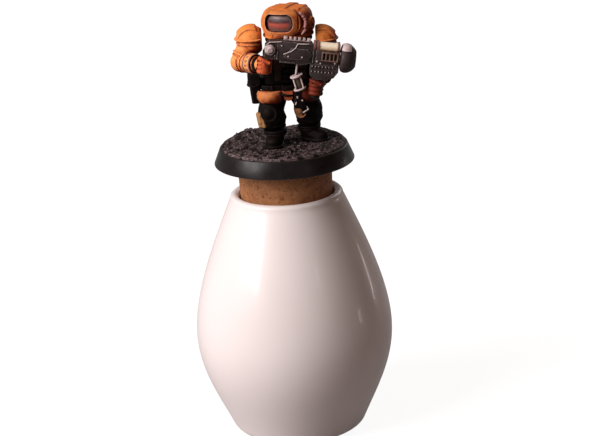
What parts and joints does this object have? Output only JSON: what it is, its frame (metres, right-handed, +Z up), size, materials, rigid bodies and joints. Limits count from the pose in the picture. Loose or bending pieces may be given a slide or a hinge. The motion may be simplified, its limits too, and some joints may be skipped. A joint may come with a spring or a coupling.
{
  "type": "miniature painting handle with a turning cork and a figure on it",
  "caption": "Egg-shaped weighted hand grip with a bearing-mounted cork stopper that spins freely, carrying a painted pressure-suited miniature on a round base.",
  "frame": {"origin": "centre of the foot, on the surface that the handle stands on", "axes": "+Z up along the axis of the grip and of the turning cork; the figure faces -Y, towards the camera; +X is to the right of the picture"},
  "size_m": [0.0574, 0.0574, 0.1258],
  "materials": {
    "grip_gloss_white": "high-gloss warm white lacquer on a moulded shell",
    "white_plastic": "satin moulded white plastic",
    "black_rubber": "matt black non-slip rubber",
    "turned_steel": "turned and zinc-plated steel with fine tool marks",
    "bearing_steel": "ground bearing steel",
    "polished_steel": "mirror-polished bearing balls",
    "pressed_steel": "bright pressed steel",
    "cage_nylon": "natural nylon",
    "spindle_aluminium": "fine-turned satin aluminium",
    "natural_cork": "agglomerated cork with dark granule edges, smoothed by handling",
    "blue_tack": "kneaded blue poster tack, soft satin",
    "painted_base_rim": "black acrylic paint, satin",
    "painted_ground": "dark textured paste, drybrushed grey-mauve",
    "painted_stone": "grit painted dark grey, drybrushed pale",
    "painted_suit_black": "matt black acrylic with brown edge highlights",
    "painted_suit_orange": "matt orange acrylic, red-brown shades and pale edges",
    "painted_leather": "matt tan and brown acrylic",
    "painted_gunmetal": "dark metallic acrylic with silver edges",
    "painted_silver": "silver acrylic with a dark wash",
    "painted_hose_black": "satin black acrylic",
    "painted_cream": "cream acrylic with brown shades",
    "painted_visor": "gloss black visor with a red lower glaze",
    "painted_lamp": "pale yellow glazed lamp cell"
  },
  "bodies": {
    "grip": {"grip_shell": "grip_gloss_white", "foot_pad": "black_rubber", "foot_plug": "white_plastic", "ballast_weight": "turned_steel", "ballast_screw": "turned_steel", "bearing_outer_ring": "bearing_steel", "bearing_shields": "pressed_steel"},
    "cage": {"bearing_cage": "cage_nylon", "bearing_balls": "polished_steel"},
    "spindle": {"spindle": "spindle_aluminium", "spindle_washer": "turned_steel", "spindle_screw": "turned_steel", "bearing_inner_ring": "bearing_steel"},
    "cork": {"cork_stopper": "natural_cork", "tack_pad": "blue_tack"},
    "miniature": {"base_disc": "painted_base_rim", "ground_layer": "painted_ground", "ground_stones": "painted_stone", "right_boot": "painted_suit_black", "left_boot": "painted_suit_black", "right_leg": "painted_suit_black", "left_leg": "painted_suit_black", "right_knee_pad": "painted_leather", "left_knee_pad": "painted_leather", "right_thigh_plate": "painted_suit_orange", "left_thigh_plate": "painted_suit_orange", "hips": "painted_suit_black", "belt": "painted_gunmetal", "belt_pouches": "painted_leather", "holster": "painted_suit_black", "loin_guard": "painted_suit_orange", "torso_front": "painted_suit_black", "torso_back": "painted_suit_black", "chest_harness": "painted_leather", "collar_ring": "painted_gunmetal", "helmet": "painted_suit_orange", "visor": "painted_visor", "visor_frame": "painted_suit_orange", "tank_frame": "painted_gunmetal", "air_tanks": "painted_suit_orange", "air_hoses": "painted_hose_black", "right_shoulder_cap": "painted_suit_orange", "left_shoulder_cap": "painted_suit_orange", "right_arm": "painted_suit_orange", "left_arm": "painted_suit_orange", "right_glove": "painted_suit_orange", "left_glove": "painted_suit_orange", "tool_housing": "painted_gunmetal", "top_rail": "painted_silver", "tool_nose": "painted_gunmetal", "gas_tube": "painted_cream", "tube_clamps": "painted_silver", "vent_guards": "painted_cream", "rib_block": "painted_gunmetal", "valve_knob": "painted_silver", "rear_grip": "painted_hose_black", "fore_grip": "painted_hose_black", "hand_lamp": "painted_lamp", "lamp_cage": "painted_silver"}
  },
  "joints": [
    {"name": "cork_turn", "type": "hinge", "parent": "grip", "child": "spindle", "pos_m": [0, 0, 0.0537], "axis": [0, 0, 1], "continuous": true},
    {"name": "cage_turn", "type": "hinge", "parent": "grip", "child": "cage", "pos_m": [0, 0, 0.0537], "axis": [0, 0, 1], "continuous": true},
    {"name": "cork_pull", "type": "slide", "parent": "spindle", "child": "cork", "axis": [0, 0, 1], "range_m": [0, 0.03]},
    {"name": "miniature_lift", "type": "slide", "parent": "cork", "child": "miniature", "axis": [0, 0, 1], "range_m": [0, 0.02]}
  ],
  "couplings": [
    {"joint": "cage_turn", "follows": "cork_turn", "ratio": 0.36767}
  ]
}
